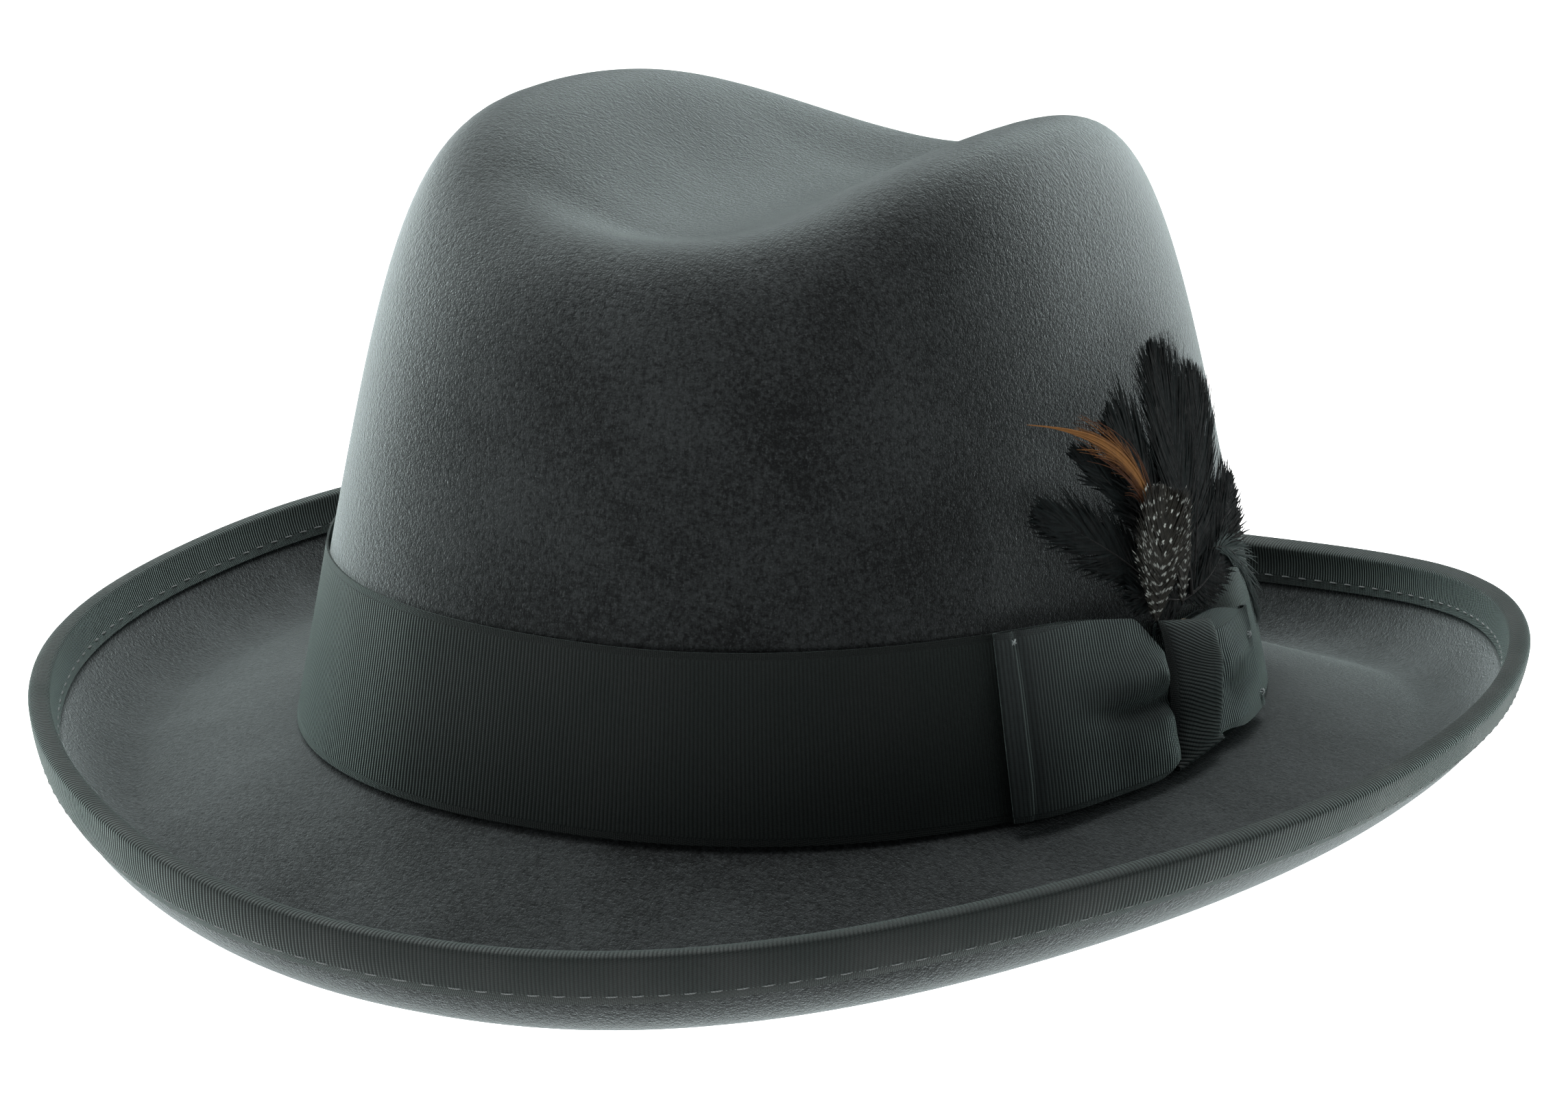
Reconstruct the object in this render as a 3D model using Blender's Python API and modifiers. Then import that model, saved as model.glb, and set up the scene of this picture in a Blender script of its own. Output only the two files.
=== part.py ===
"""Felt hat: blocked crown and brim, ribbon trims, side bow with a feather spray, sweatband and lining.

Front is -Y, the wearer's left (bow side) is +X, up is +Z. Dimensions below are in millimetres.
"""
import math

import bmesh
import bpy
import numpy as np

MM = 0.001
STATIONS = 56                 # points round the hat
ORIGIN = np.array([0, 1.06, -22.5])   # middle of the hat on the surface it rests on

# Crown
HALF_WIDTH = 88.0             # felt oval at the foot of the crown, across
HALF_LENGTH = 102.5           # and front to back
OVAL_POWER = 2.23
CROWN_RISE = 124.0
CROWN_SLOPE = (-6.9, 0.5, 2.2)   # front is higher than back
SHOULDER_POWER = 6.4
TAPER_SIDE = 0.285
TAPER_ENDS = (0.145, 0.057)
TAPER_FRONT_EXTRA = 0.078
CROWN_LEAN = -4.8
FOOT_WAVE = (0.9, -2.2)       # height of the crown's foot round the oval
FELT = 2.4

# Crease along the top of the crown
CREASE_DEPTH = 24.2
CREASE_HALF_WIDTH = (56.7, -7.2)
CREASE_FRONT = (-99.6, -46.8)
CREASE_BACK = (127.9, 34.5)

# Brim
BRIM_WIDTH = (60.7, -3.5, 1.2)
BRIM_TILT = (-18.5, 9.6, 3.8, -1.8)
CURL_TURN = (108.0, -22.5, 3.1)
CURL_START = (0.541, -0.037)
CURL_POWER = 0.75
BINDING_WIDTH = 7.5

# Ribbon band and bow
RIBBON = 0.6
GAP = 0.3
BAND_LOW = 1.6
BAND_HIGH = 36.0
BAND_PINCH = (7.5, 30.0)      # the bow pulls the band's top edge down, over this distance
KNOT_ANGLE = math.radians(-1.2)
KNOT_HALF_WIDTH = 10.3
KNOT_TOP = 29.5
FRONT_WING = 57.0
REAR_WING = 34.0

# Inside
SWEATBAND_HIGH = 37.0
SWEATBAND = 1.2
SWEATBAND_SET_IN = 4.7
LINING_SET_IN = 3.4
LINING_DROP = 7.0
LINING = 0.6

ROUND = np.linspace(0, 2 * math.pi, STATIONS, endpoint=False)


def smooth(x):
    x = np.clip(x, 0, 1)
    return x * x * (3 - 2 * x)


def foot_height(t):
    return FOOT_WAVE[0] * np.cos(2 * t) + FOOT_WAVE[1] * np.sin(t)


def oval(t, half_width, half_length):
    power = 2 / OVAL_POWER
    x = half_width * np.sign(np.cos(t)) * np.abs(np.cos(t)) ** power
    y = half_length * np.sign(np.sin(t)) * np.abs(np.sin(t)) ** power
    return x, y


def crown(t, rise, set_in=0.0, drop=0.0):
    """Points on the crown at angle t, rise 0 at its foot to 1 at the top."""
    rise = np.clip(rise + 0 * t, 0, 1)
    reach = (1 - rise**SHOULDER_POWER) ** (1 / SHOULDER_POWER)
    across = (HALF_WIDTH - set_in) * (1 - TAPER_SIDE * rise)
    along = 1 - TAPER_ENDS[0] * rise - TAPER_ENDS[1] * rise**2
    along = (HALF_LENGTH - set_in) * (along + TAPER_FRONT_EXTRA * rise * np.sin(t))
    x, y = oval(t, across * reach, along * reach)
    y = y + CROWN_LEAN * rise
    place = y / HALF_LENGTH
    height = CROWN_RISE + CROWN_SLOPE[0] * place + CROWN_SLOPE[1] * place**2
    height = height + CROWN_SLOPE[2] * place**3 - drop
    z = foot_height(t) * (1 - rise) + height * rise
    across_crease = x / (CREASE_HALF_WIDTH[0] + CREASE_HALF_WIDTH[1] * place)
    dip = (1 - np.clip(across_crease, -1, 1) ** 2) ** 2
    dip = dip * smooth((y - CREASE_FRONT[0]) / (CREASE_FRONT[1] - CREASE_FRONT[0]))
    dip = dip * smooth((CREASE_BACK[0] - y) / (CREASE_BACK[0] - CREASE_BACK[1]))
    z = z - CREASE_DEPTH * dip * smooth((rise - 0.5) / 0.4)
    return np.stack([x, y, z], -1)


def wall(t, height, out):
    """Points at a height above the crown's foot and a distance out from the felt."""
    t, height, out = np.broadcast_arrays(np.asarray(t, float), height, out)
    rise = np.clip(height / CROWN_RISE, 0, 1)
    for _ in range(6):
        rise = rise + (height - crown(t, rise)[..., 2] + foot_height(t)) / CROWN_RISE
    here = crown(t, rise)
    along = crown(t + 1e-4, rise) - here
    up = crown(t, rise + 1e-4) - here
    normal = np.cross(along, up)
    normal = normal / np.linalg.norm(normal, axis=-1, keepdims=True)
    return here + normal * out[..., None]


def brim(t, part, above=0.0):
    """Points at a fraction of the way across the brim, measured from the crown's foot."""
    width = BRIM_WIDTH[0] + BRIM_WIDTH[1] * np.cos(2 * t) + BRIM_WIDTH[2] * np.sin(t)
    tilt = BRIM_TILT[0] + BRIM_TILT[1] * np.cos(2 * t)
    tilt = np.radians(tilt + BRIM_TILT[2] * np.sin(t) + BRIM_TILT[3] * np.cos(4 * t))
    turn = CURL_TURN[0] + CURL_TURN[1] * np.cos(2 * t) + CURL_TURN[2] * np.sin(t)
    start = CURL_START[0] + CURL_START[1] * np.cos(2 * t)
    steps = 80
    out, rise = np.zeros_like(t), np.zeros_like(t)
    for k in range(steps):
        at = part * (k + 0.5) / steps
        angle = tilt + np.radians(turn) * np.clip((at - start) / (1 - start), 0, 1) ** CURL_POWER
        out = out + np.cos(angle) * width * part / steps
        rise = rise + np.sin(angle) * width * part / steps
    angle = tilt + np.radians(turn) * np.clip((part - start) / (1 - start), 0, 1) ** CURL_POWER
    out = out - np.sin(angle) * above
    rise = rise + np.cos(angle) * above
    x, y = oval(t, HALF_WIDTH, HALF_LENGTH)
    nx, ny = np.cos(t) / HALF_WIDTH, np.sin(t) / HALF_LENGTH
    size = np.hypot(nx, ny)
    return np.stack([x + nx / size * out, y + ny / size * out, foot_height(t) + rise], -1)


def band_angles(reach):
    """Angles at distances along the band from the knot, positive towards the front."""
    t = np.linspace(KNOT_ANGLE - 1.2, KNOT_ANGLE + 1.2, 241)
    line = wall(t, 18.0, 2.0)
    run = np.concatenate([[0], np.cumsum(np.linalg.norm(np.diff(line, axis=0), axis=1))])
    run = run - np.interp(KNOT_ANGLE, t, run)
    return np.interp(-np.asarray(reach, float), run, t)


def material(name, colour, roughness):
    made = bpy.data.materials.new(name)
    made.use_nodes = True
    shader = made.node_tree.nodes["Principled BSDF"]
    shader.inputs["Base Color"].default_value = (*colour, 1)
    shader.inputs["Roughness"].default_value = roughness
    made.diffuse_color = (*colour, 1)
    return made


def add_object(name, points, faces, surface, outward=True):
    mesh = bpy.data.meshes.new(name)
    mesh.from_pydata(((np.asarray(points) - ORIGIN) * MM).tolist(), [], faces)
    if outward:
        shape = bmesh.new()
        shape.from_mesh(mesh)
        bmesh.ops.recalc_face_normals(shape, faces=shape.faces)
        shape.to_mesh(mesh)
        shape.free()
    made = bpy.data.objects.new(name, mesh)
    made.data.materials.append(surface)
    bpy.data.collections["felt_hat"].objects.link(made)
    return made


def add_shell(name, rings, thickness, surface, centre=None):
    """An open skin of rings, thickened inwards. A centre point closes its top."""
    count = len(rings[0])
    points = np.concatenate(rings)
    faces = []
    for i in range(len(rings) - 1):
        for j in range(count):
            k = (j + 1) % count
            faces.append([i * count + j, (i + 1) * count + j, (i + 1) * count + k, i * count + k])
    if centre is not None:
        points = np.concatenate([points, centre[None]])
        faces += [[len(points) - 1, j, (j + 1) % count] for j in range(count)]
    made = add_object(name, points, faces, surface, outward=False)
    skin = made.modifiers.new("thickness", "SOLIDIFY")
    skin.thickness = thickness * MM
    skin.offset = -1
    skin.use_even_offset = True
    return made


def add_hoop(name, rings, surface):
    """A closed section carried right round the hat: one ring for each corner of the section."""
    count, corners = len(rings[0]), len(rings)
    faces = []
    for i in range(corners):
        for j in range(count):
            a, b, k = i * count, (i + 1) % corners * count, (j + 1) % count
            faces.append([a + j, b + j, b + k, a + k])
    return add_object(name, np.concatenate(rings), faces, surface)


def add_run(name, sections, surface):
    """Closed sections joined one to the next, with a cap on each end."""
    corners = len(sections[0])
    faces = [list(range(corners)), list(range((len(sections) - 1) * corners, len(sections) * corners))]
    for i in range(len(sections) - 1):
        for j in range(corners):
            a, b, k = i * corners, (i + 1) * corners, (j + 1) % corners
            faces.append([a + j, a + k, b + k, b + j])
    return add_object(name, np.concatenate(sections), faces, surface)


def add_thread(name, line, across, other, radius, surface):
    """A round thread along a closed line, given two directions square to it."""
    rings = []
    for k in range(5):
        angle = 2 * math.pi * k / 5
        rings.append(line + radius * (math.cos(angle) * across + math.sin(angle) * other))
    return add_hoop(name, rings, surface)


def unit(v):
    return v / np.linalg.norm(v, axis=-1, keepdims=True)


def felt_body(felt):
    reaches = [0.1, 0.22, 0.34, 0.46, 0.57, 0.67, 0.76, 0.84, 0.91, 0.96]
    rises = [(1 - r**SHOULDER_POWER) ** (1 / SHOULDER_POWER) for r in reaches]
    rises += [0.68, 0.56, 0.44, 0.32, 0.2, 0.1]
    rings = [crown(ROUND, rise) for rise in rises]
    low, corner, side = wall(ROUND, 1.2, 0.0), wall(ROUND, 0.0, 0.0), brim(ROUND, 0.05)
    rings += [low, (low + 2 * corner + side) / 4, side]
    parts = [0.18, 0.34, 0.5, 0.58, 0.66, 0.73, 0.8, 1 - BINDING_WIDTH / BRIM_WIDTH[0], 0.94, 1.0]
    rings += [brim(ROUND, part) for part in parts]
    add_shell("felt_body", rings, FELT, felt, centre=crown(np.array([0.0]), 1.0)[0])


def brim_binding(ribbon, thread):
    edge = 1 - BINDING_WIDTH / BRIM_WIDTH[0]
    parts = [edge, 0.94, 1.0]
    near, far = GAP, GAP + RIBBON
    tip = unit(brim(ROUND, 1.0) - brim(ROUND, 0.99))
    outer = [brim(ROUND, p, far) for p in parts]
    outer += [outer[-1] + tip * far, brim(ROUND, 1.0, -FELT - far) + tip * far]
    outer += [brim(ROUND, p, -FELT - far) for p in parts[::-1]]
    inner = [brim(ROUND, p, -FELT - near) for p in parts]
    inner += [inner[-1] + tip * near, brim(ROUND, 1.0, near) + tip * near]
    inner += [brim(ROUND, p, near) for p in parts[::-1]]
    add_hoop("brim_binding", outer + inner, ribbon)
    for name, above in (("binding_stitch_upper", far + 0.5), ("binding_stitch_lower", -FELT - far - 0.5)):
        line = brim(ROUND, edge + 0.02, above)
        across = unit(brim(ROUND, edge + 0.03, above) - line)
        other = unit(brim(ROUND, edge + 0.02, above + 1) - line)
        add_thread(name, line, across, other, 0.25, thread)


def hatband(ribbon):
    reach = (np.mod(ROUND - KNOT_ANGLE + math.pi, 2 * math.pi) - math.pi) * 94.0
    top = BAND_HIGH - BAND_PINCH[0] * np.exp(-(reach / BAND_PINCH[1]) ** 2)
    heights = [BAND_LOW + (top - BAND_LOW) * share for share in (0, 0.2, 0.42, 0.64, 0.82, 1)]
    rings = [wall(ROUND, h, GAP + RIBBON) for h in heights]
    rings += [wall(ROUND, h, GAP) for h in heights[::-1]]
    add_hoop("hatband", rings, ribbon)


def wall_block(name, reach, low, high, near, far, surface, rows=3):
    """A block that follows the crown's wall. Each size is given at every distance in reach."""
    angles = band_angles(reach)
    sections = []
    for t, lo, hi, inside, outside in zip(angles, low, high, near, far):
        heights = np.linspace(lo, hi, rows)
        sections.append(np.concatenate([wall(t, heights, outside), wall(t, heights[::-1], inside)]))
    return add_run(name, sections, surface)


def bow(ribbon, thread):
    reach = np.array([0.5, 5.0, 10.5, 17.0, 24.0, 32.0, 40.0, 48.0, FRONT_WING - 1, FRONT_WING])
    low = [3.5, 3.5, 3.0, 2.2, 1.8, 1.8, 1.8, 1.8, 1.8, 2.2]
    high = [24.5, 24.5, 25.0, 30.0, 31.8, 33.4, 34.6, 35.4, 35.8, 35.4]
    near = [2.6, 2.6, 2.4, 2.0, 1.6, 1.3, 1.2, 1.2, 1.2, 1.4]
    far = [3.8, 3.8, 4.2, 4.8, 5.0, 4.9, 4.6, 4.2, 3.4, 2.8]
    wall_block("bow_front_wing", reach, low, high, near, far, ribbon, rows=5)
    reach = -np.array([0.5, 5.0, 10.5, 16.0, 22.0, 28.0, REAR_WING - 1, REAR_WING])
    low = [3.5, 3.5, 3.0, 2.6, 2.4, 2.2, 2.2, 2.6]
    high = [26.5, 26.5, 26.5, 25.6, 24.4, 23.2, 22.2, 21.8]
    near = [2.6, 2.6, 2.4, 1.9, 1.5, 1.2, 1.2, 1.4]
    far = [3.8, 3.8, 4.2, 4.4, 4.2, 3.8, 3.2, 2.8]
    wall_block("bow_rear_wing", reach, low, high, near, far, ribbon, rows=5)
    profile = [(1.0, 2.6), (1.0, 4.5), (2.0, 5.0), (15.0, 5.2), (KNOT_TOP - 1, 5.0), (KNOT_TOP, 4.5), (KNOT_TOP, 2.6)]
    profile += [(KNOT_TOP - 0.8, 2.6), (KNOT_TOP - 0.8, 4.2), (15.0, 4.5), (1.8, 4.2), (1.8, 2.6)]
    heights, outs = np.array(profile).T
    sections = [wall(t, heights, outs) for t in band_angles(np.linspace(-KNOT_HALF_WIDTH, KNOT_HALF_WIDTH, 7))]
    add_run("bow_knot", sections, ribbon)
    tacks = {
        "bow_tack_front_upper": (53.5, 33.0, 4.1),
        "bow_tack_front_lower": (54.0, 5.0, 4.1),
        "bow_tack_rear_upper": (-29.0, 20.0, 4.1),
        "bow_tack_rear_lower": (-31.0, 4.6, 4.1),
    }
    for name, (across, up, out) in tacks.items():
        reach = np.array([across - 1.1, across + 1.1])
        size = (np.full(2, up - 0.35), np.full(2, up + 0.35), np.full(2, out), np.full(2, out + 0.6))
        wall_block(name, reach, *size, thread, rows=2)


def feather(name, base, bend, tip, half_width, out, surface, blunt=0.0, swell=0.5):
    """A vane on the wall: a curved centre line with the width falling away at both ends."""
    along = np.linspace(0, 1, 11)[:, None]
    base, bend, tip = (np.array(p, float) for p in (base, bend, tip))
    line = (1 - along) ** 2 * base + 2 * along * (1 - along) * bend + along**2 * tip
    way = unit(np.gradient(line, axis=0))
    side = np.stack([-way[:, 1], way[:, 0]], -1)
    u = along[:, 0]
    width = half_width * np.clip(np.sin(math.pi * u**swell), 0, 1) ** 0.6
    width = np.maximum(width, 0.9) * (1 - blunt * 0) + half_width * blunt * smooth((u - 0.6) / 0.4)
    sections = []
    for place, across, w in zip(line, side, width):
        spots = np.array([place - across * w, place, place + across * w])
        angles = band_angles(spots[:, 0])
        top = wall(angles, spots[:, 1], out + np.array([0.4, 0.65, 0.4]))
        low = wall(angles, spots[:, 1], out + np.array([0.0, 0.1, 0.0]))
        sections.append(np.concatenate([top, low[::-1]]))
    add_run(name, sections, surface)


def feather_spray(black, orange, spotted, quill):
    reach = np.linspace(-4.0, 5.0, 4)
    flat = np.ones(4)
    wall_block("feather_stub", reach, 9 * flat, 34 * flat, 1.2 * flat, 2.2 * flat, quill, rows=4)
    feather("feather_black_low", (4, 33.0), (22, 44), (45, 55.5), 6.5, 2.5, black)
    feather("feather_black_rear_low", (-7, 32.5), (-18, 42), (-35, 52), 6.5, 2.5, black)
    feather("feather_black_small", (1.5, 33.0), (12, 52), (30, 65), 4.5, 3.2, black)
    feather("feather_black_rear", (-5, 32.5), (-16, 50), (-27, 75), 8.5, 3.2, black, blunt=0.35, swell=0.8)
    feather("feather_black_upper", (0, 32.0), (5, 55), (17, 73), 6.0, 3.9, black)
    feather("feather_black_tall", (-3, 32.0), (-6, 55), (-6, 79), 9.0, 4.6, black, blunt=0.35, swell=0.8)
    feather("feather_plume_orange", (3, 33.0), (8, 66), (44, 72), 2.6, 5.3, orange)
    feather("feather_guinea", (9, 32.0), (10, 44), (4, 56), 9.5, 6.0, spotted)


def sweatband_parts(leather, cord, thread, paper):
    near, far = -SWEATBAND_SET_IN, -SWEATBAND_SET_IN - SWEATBAND
    heights = [1.0, 10, 20, 30, SWEATBAND_HIGH]
    rings = [wall(ROUND, h, near) for h in heights]
    rings += [wall(ROUND, h, far) for h in heights[::-1]]
    add_hoop("sweatband", rings, leather)
    lines = {
        "sweatband_reed": (wall(ROUND, 2.2, -3.45), 0.55, cord),
        "sweatband_stitching": (wall(ROUND, 4.5, far - 0.6), 0.25, thread),
    }
    for name, (line, radius, surface) in lines.items():
        up = unit(wall(ROUND, 5.5, 0) - wall(ROUND, 4.5, 0))
        out = unit(wall(ROUND, 4.5, 1) - wall(ROUND, 4.5, 0))
        add_thread(name, line, up, out, radius, surface)
    inner_block("sweatband_bow", 90, [-11, -6, -1.6, 0, 1.6, 6, 11], [3.0, 2.0, 1.4, 1.6, 1.4, 2.0, 3.0], 12.0, far - 0.4, cord)
    inner_block("size_tab", 62, [-5, 0, 5], [6.5, 6.5, 6.5], 26.0, far - 0.3, paper, thick=0.4)


def inner_block(name, degrees, reach, half_heights, middle, out, surface, thick=1.6):
    """A small piece on the inside face of the sweatband."""
    sections = []
    for step, half in zip(reach, half_heights):
        t = math.radians(degrees) + step / 94.0
        heights = np.array([middle - half, middle, middle + half])
        sections.append(np.concatenate([wall(t, heights, out), wall(t, heights[::-1], out - thick)]))
    add_run(name, sections, surface)


def lining_parts(satin):
    seam = 0.958
    side = [crown(ROUND, rise, LINING_SET_IN, LINING_DROP) for rise in (seam, 0.9, 0.82, 0.7, 0.52, 0.35, 0.19)]
    add_shell("lining_side", side, LINING, satin)
    reaches = [0.12, 0.3, 0.46, 0.6, 0.7, 0.785]
    rises = [(1 - r**SHOULDER_POWER) ** (1 / SHOULDER_POWER) for r in reaches]
    top = [crown(ROUND, rise, LINING_SET_IN, LINING_DROP) for rise in rises]
    centre = crown(np.array([0.0]), 1.0, LINING_SET_IN, LINING_DROP)[0]
    add_shell("lining_tip", top, LINING, satin, centre=centre)


def build():
    for old in list(bpy.data.objects):
        bpy.data.objects.remove(old)
    bpy.context.scene.collection.children.link(bpy.data.collections.new("felt_hat"))
    felt = material("felt", (0.105, 0.112, 0.117), 0.95)
    ribbon = material("ribbon", (0.035, 0.045, 0.046), 0.75)
    thread = material("thread", (0.05, 0.06, 0.06), 0.8)
    felt_body(felt)
    brim_binding(ribbon, thread)
    hatband(ribbon)
    bow(ribbon, thread)
    black = material("black_feather", (0.012, 0.014, 0.014), 0.55)
    orange = material("orange_feather", (0.42, 0.17, 0.05), 0.6)
    spotted = material("guinea_feather", (0.05, 0.05, 0.045), 0.6)
    quill = material("quill", (0.35, 0.29, 0.2), 0.5)
    feather_spray(black, orange, spotted, quill)
    leather = material("leather", (0.11, 0.05, 0.025), 0.5)
    paper = material("paper", (0.75, 0.73, 0.68), 0.8)
    sweatband_parts(leather, ribbon, thread, paper)
    lining_parts(material("satin", (0.16, 0.17, 0.18), 0.35))


build()
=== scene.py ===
"""Felt hat with ribbon trims, a side bow, a feather spray, a sweatband and a lining, in a white studio."""
import math

import bmesh
import bpy
import numpy as np
from mathutils import Matrix, Vector


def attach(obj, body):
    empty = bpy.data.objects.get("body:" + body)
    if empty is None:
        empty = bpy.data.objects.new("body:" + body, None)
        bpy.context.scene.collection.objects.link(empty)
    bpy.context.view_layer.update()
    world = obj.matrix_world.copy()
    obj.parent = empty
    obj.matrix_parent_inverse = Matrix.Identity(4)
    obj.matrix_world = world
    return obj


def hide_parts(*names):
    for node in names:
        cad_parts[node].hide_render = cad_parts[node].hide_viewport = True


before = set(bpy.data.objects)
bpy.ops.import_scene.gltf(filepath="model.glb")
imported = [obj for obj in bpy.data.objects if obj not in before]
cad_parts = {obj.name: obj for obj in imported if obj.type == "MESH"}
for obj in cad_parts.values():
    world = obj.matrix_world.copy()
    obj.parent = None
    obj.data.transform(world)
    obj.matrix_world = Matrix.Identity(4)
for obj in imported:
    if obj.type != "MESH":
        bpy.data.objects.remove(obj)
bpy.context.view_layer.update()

# The hat in millimetres and degrees. In a row of numbers the first is the mean, and the rest are its
# changes round or along the hat. The crease's ends are (where it runs out, where it is full).
MM = 0.001
ORIGIN = np.array([0, 1.06, -22.5])  # the frame's origin, seen from the middle of the crown's foot
HALF_WIDTH, HALF_LENGTH, OVAL_POWER = 88.0, 102.5, 2.23
CROWN_RISE, CROWN_SLOPE, SHOULDER_POWER = 124.0, (-6.9, 0.5, 2.2), 6.4
TAPER_SIDE, TAPER_ENDS, TAPER_FRONT_EXTRA = 0.285, (0.145, 0.057), 0.078
CROWN_LEAN, FOOT_WAVE, FELT = -4.8, (0.9, -2.2), 2.4
CREASE_DEPTH, CREASE_HALF_WIDTH = 24.2, (56.7, -7.2)
CREASE_FRONT, CREASE_BACK = (-99.6, -46.8), (127.9, 34.5)
BRIM_WIDTH, BRIM_TILT = (60.7, -3.5, 1.2), (-18.5, 9.6, 3.8, -1.8)
CURL_TURN, CURL_START, CURL_POWER = (108.0, -22.5, 3.1), (0.541, -0.037), 0.75
BINDING_WIDTH, BAND_LOW, BAND_HIGH, BAND_PINCH = 7.5, 1.6, 36.0, (7.5, 30.0)
KNOT_ANGLE = math.radians(-1.2)
SWEATBAND_SET_IN, LINING_SET_IN, LINING_DROP = 4.7, 3.4, 7.0
WALL_RADIUS = 94.0  # turns millimetres along the crown's foot into an angle
BOW_RIBBON, INNER_RIBBON = 0.42, 0.22  # thickness
FEATHER_GAP = 1.5  # the least distance from the felt to a barb's middle
MIDDLE_ROW = 12  # the row of a band's grid whose length is its flat length
FULL_TURN = 2 * math.pi
SPRAY = "feather_spray"
CHANCE = np.random.default_rng(11)


# ---------------------------------------------------------------- the hat's shape

def smooth(x):
    x = np.clip(x, 0, 1)
    return x * x * (3 - 2 * x)


def unit(v):
    return v / np.maximum(np.linalg.norm(v, axis=-1, keepdims=True), 1e-12)


def foot_height(t):
    """How far the crown's foot rises above its mean, at angle t from the hat's side."""
    return FOOT_WAVE[0] * np.cos(2 * t) + FOOT_WAVE[1] * np.sin(t)


def oval(t, half_width, half_length):
    power = 2 / OVAL_POWER
    x = half_width * np.sign(np.cos(t)) * np.abs(np.cos(t)) ** power
    y = half_length * np.sign(np.sin(t)) * np.abs(np.sin(t)) ** power
    return x, y


def crown(t, rise, set_in=0.0, drop=0.0):
    """Points on the crown at angle t, rise 0 at its foot to 1 at the top."""
    rise = np.clip(rise + 0 * t, 0, 1)
    reach = (1 - rise**SHOULDER_POWER) ** (1 / SHOULDER_POWER)
    across = (HALF_WIDTH - set_in) * (1 - TAPER_SIDE * rise)
    along = 1 - TAPER_ENDS[0] * rise - TAPER_ENDS[1] * rise**2
    along = (HALF_LENGTH - set_in) * (along + TAPER_FRONT_EXTRA * rise * np.sin(t))
    x, y = oval(t, across * reach, along * reach)
    y = y + CROWN_LEAN * rise
    place = y / HALF_LENGTH
    height = CROWN_RISE + CROWN_SLOPE[0] * place + CROWN_SLOPE[1] * place**2
    height = height + CROWN_SLOPE[2] * place**3 - drop
    z = foot_height(t) * (1 - rise) + height * rise
    across_crease = x / (CREASE_HALF_WIDTH[0] + CREASE_HALF_WIDTH[1] * place)
    dip = (1 - np.clip(across_crease, -1, 1) ** 2) ** 2
    dip = dip * smooth((y - CREASE_FRONT[0]) / (CREASE_FRONT[1] - CREASE_FRONT[0]))
    dip = dip * smooth((CREASE_BACK[0] - y) / (CREASE_BACK[0] - CREASE_BACK[1]))
    z = z - CREASE_DEPTH * dip * smooth((rise - 0.5) / 0.4)
    return np.stack([x, y, z], -1)


def wall(t, height, out):
    """Points at a height above the crown's foot and a distance out from the felt."""
    t, height, out = np.broadcast_arrays(np.asarray(t, float), height, out)
    rise = np.clip(height / CROWN_RISE, 0, 1)
    for _ in range(6):
        rise = rise + (height - crown(t, rise)[..., 2] + foot_height(t)) / CROWN_RISE
    here = crown(t, rise)
    along = crown(t + 1e-4, rise) - here
    up = crown(t, rise + 1e-4) - here
    return here + unit(np.cross(along, up)) * out[..., None]


def brim(t, part, above=0.0):
    """Points at a fraction of the way across the brim, measured from the crown's foot."""
    t, part, above = np.broadcast_arrays(np.asarray(t, float), part, above)
    width = BRIM_WIDTH[0] + BRIM_WIDTH[1] * np.cos(2 * t) + BRIM_WIDTH[2] * np.sin(t)
    tilt = BRIM_TILT[0] + BRIM_TILT[1] * np.cos(2 * t)
    tilt = np.radians(tilt + BRIM_TILT[2] * np.sin(t) + BRIM_TILT[3] * np.cos(4 * t))
    turn = CURL_TURN[0] + CURL_TURN[1] * np.cos(2 * t) + CURL_TURN[2] * np.sin(t)
    turn = np.radians(turn)
    start = CURL_START[0] + CURL_START[1] * np.cos(2 * t)
    steps = 60
    out, rise = np.zeros_like(t), np.zeros_like(t)
    for k in range(steps):
        at = part * (k + 0.5) / steps
        angle = tilt + turn * np.clip((at - start) / (1 - start), 0, 1) ** CURL_POWER
        out = out + np.cos(angle) * width * part / steps
        rise = rise + np.sin(angle) * width * part / steps
    angle = tilt + turn * np.clip((part - start) / (1 - start), 0, 1) ** CURL_POWER
    out = out - np.sin(angle) * above
    rise = rise + np.cos(angle) * above
    x, y = oval(t, HALF_WIDTH, HALF_LENGTH)
    nx, ny = np.cos(t) / HALF_WIDTH, np.sin(t) / HALF_LENGTH
    size = np.hypot(nx, ny)
    return np.stack([x + nx / size * out, y + ny / size * out, foot_height(t) + rise], -1)


def run_along(line):
    """Distance along a line of points, from 0 at its start."""
    steps = np.linalg.norm(np.diff(line, axis=0), axis=1)
    return np.concatenate([[0], np.cumsum(steps)])


def band_table():
    t = np.linspace(KNOT_ANGLE - 1.2, KNOT_ANGLE + 1.2, 241)
    run = run_along(wall(t, 18.0, 2.0))
    return t, run - np.interp(KNOT_ANGLE, t, run)


BAND_TABLE = band_table()


def on_wall(across, height, out):
    """Points by distance from the knot along the band, positive to the front."""
    return wall(np.interp(-np.asarray(across, float), BAND_TABLE[1], BAND_TABLE[0]), height, out)


def stations(count):
    return np.linspace(0, FULL_TURN, count, endpoint=False)


def shut(ring):
    """A ring of points with its first point again at the end."""
    return np.concatenate([ring, ring[:1]])


# ---------------------------------------------------------------- meshes

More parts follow.
